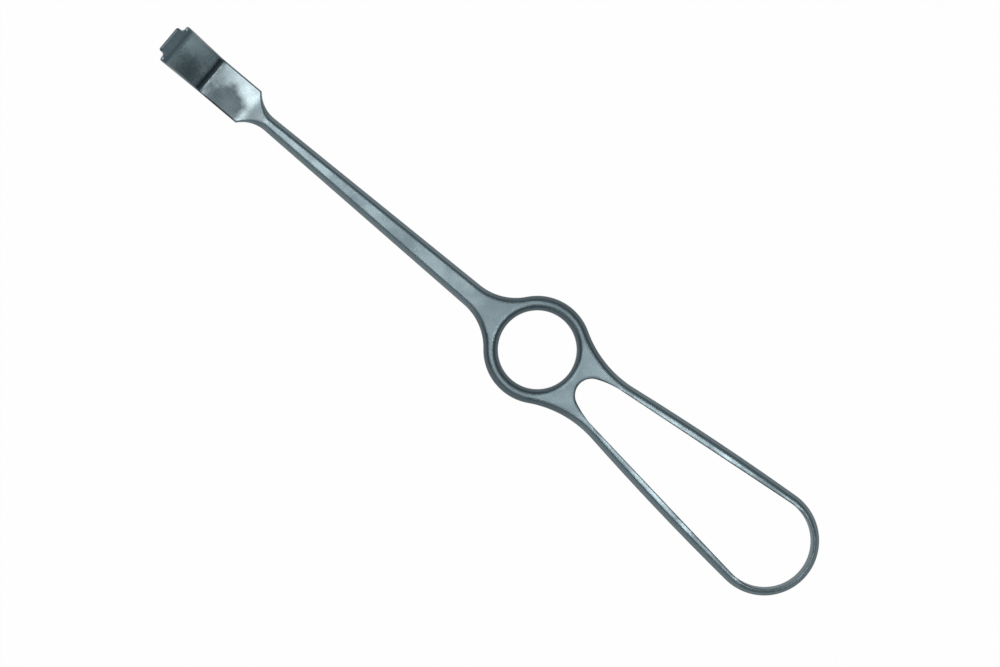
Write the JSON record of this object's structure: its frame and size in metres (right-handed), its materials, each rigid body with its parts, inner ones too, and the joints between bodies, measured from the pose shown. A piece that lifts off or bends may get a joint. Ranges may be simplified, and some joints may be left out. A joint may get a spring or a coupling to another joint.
{
  "type": "hand retractor",
  "caption": "Right-angled surgical hand retractor: narrow upright blade with a bent lip, slim tapered shaft, finger ring and open teardrop grip loop, satin steel.",
  "frame": {"origin": "centre of the finger ring, halfway through the handle's thickness", "axes": "+X along the handle from the ring to the blade, +Y across the handle, +Z the way the blade stands"},
  "size_m": [0.2121, 0.029, 0.0313],
  "materials": {
    "blade_steel": "satin, brushed along the plate",
    "handle_steel": "satin flats with polished round edges"
  },
  "bodies": {
    "root": {"retractor_blade": "blade_steel", "shaft": "handle_steel", "finger_ring": "handle_steel", "grip_loop": "handle_steel"}
  },
  "joints": []
}
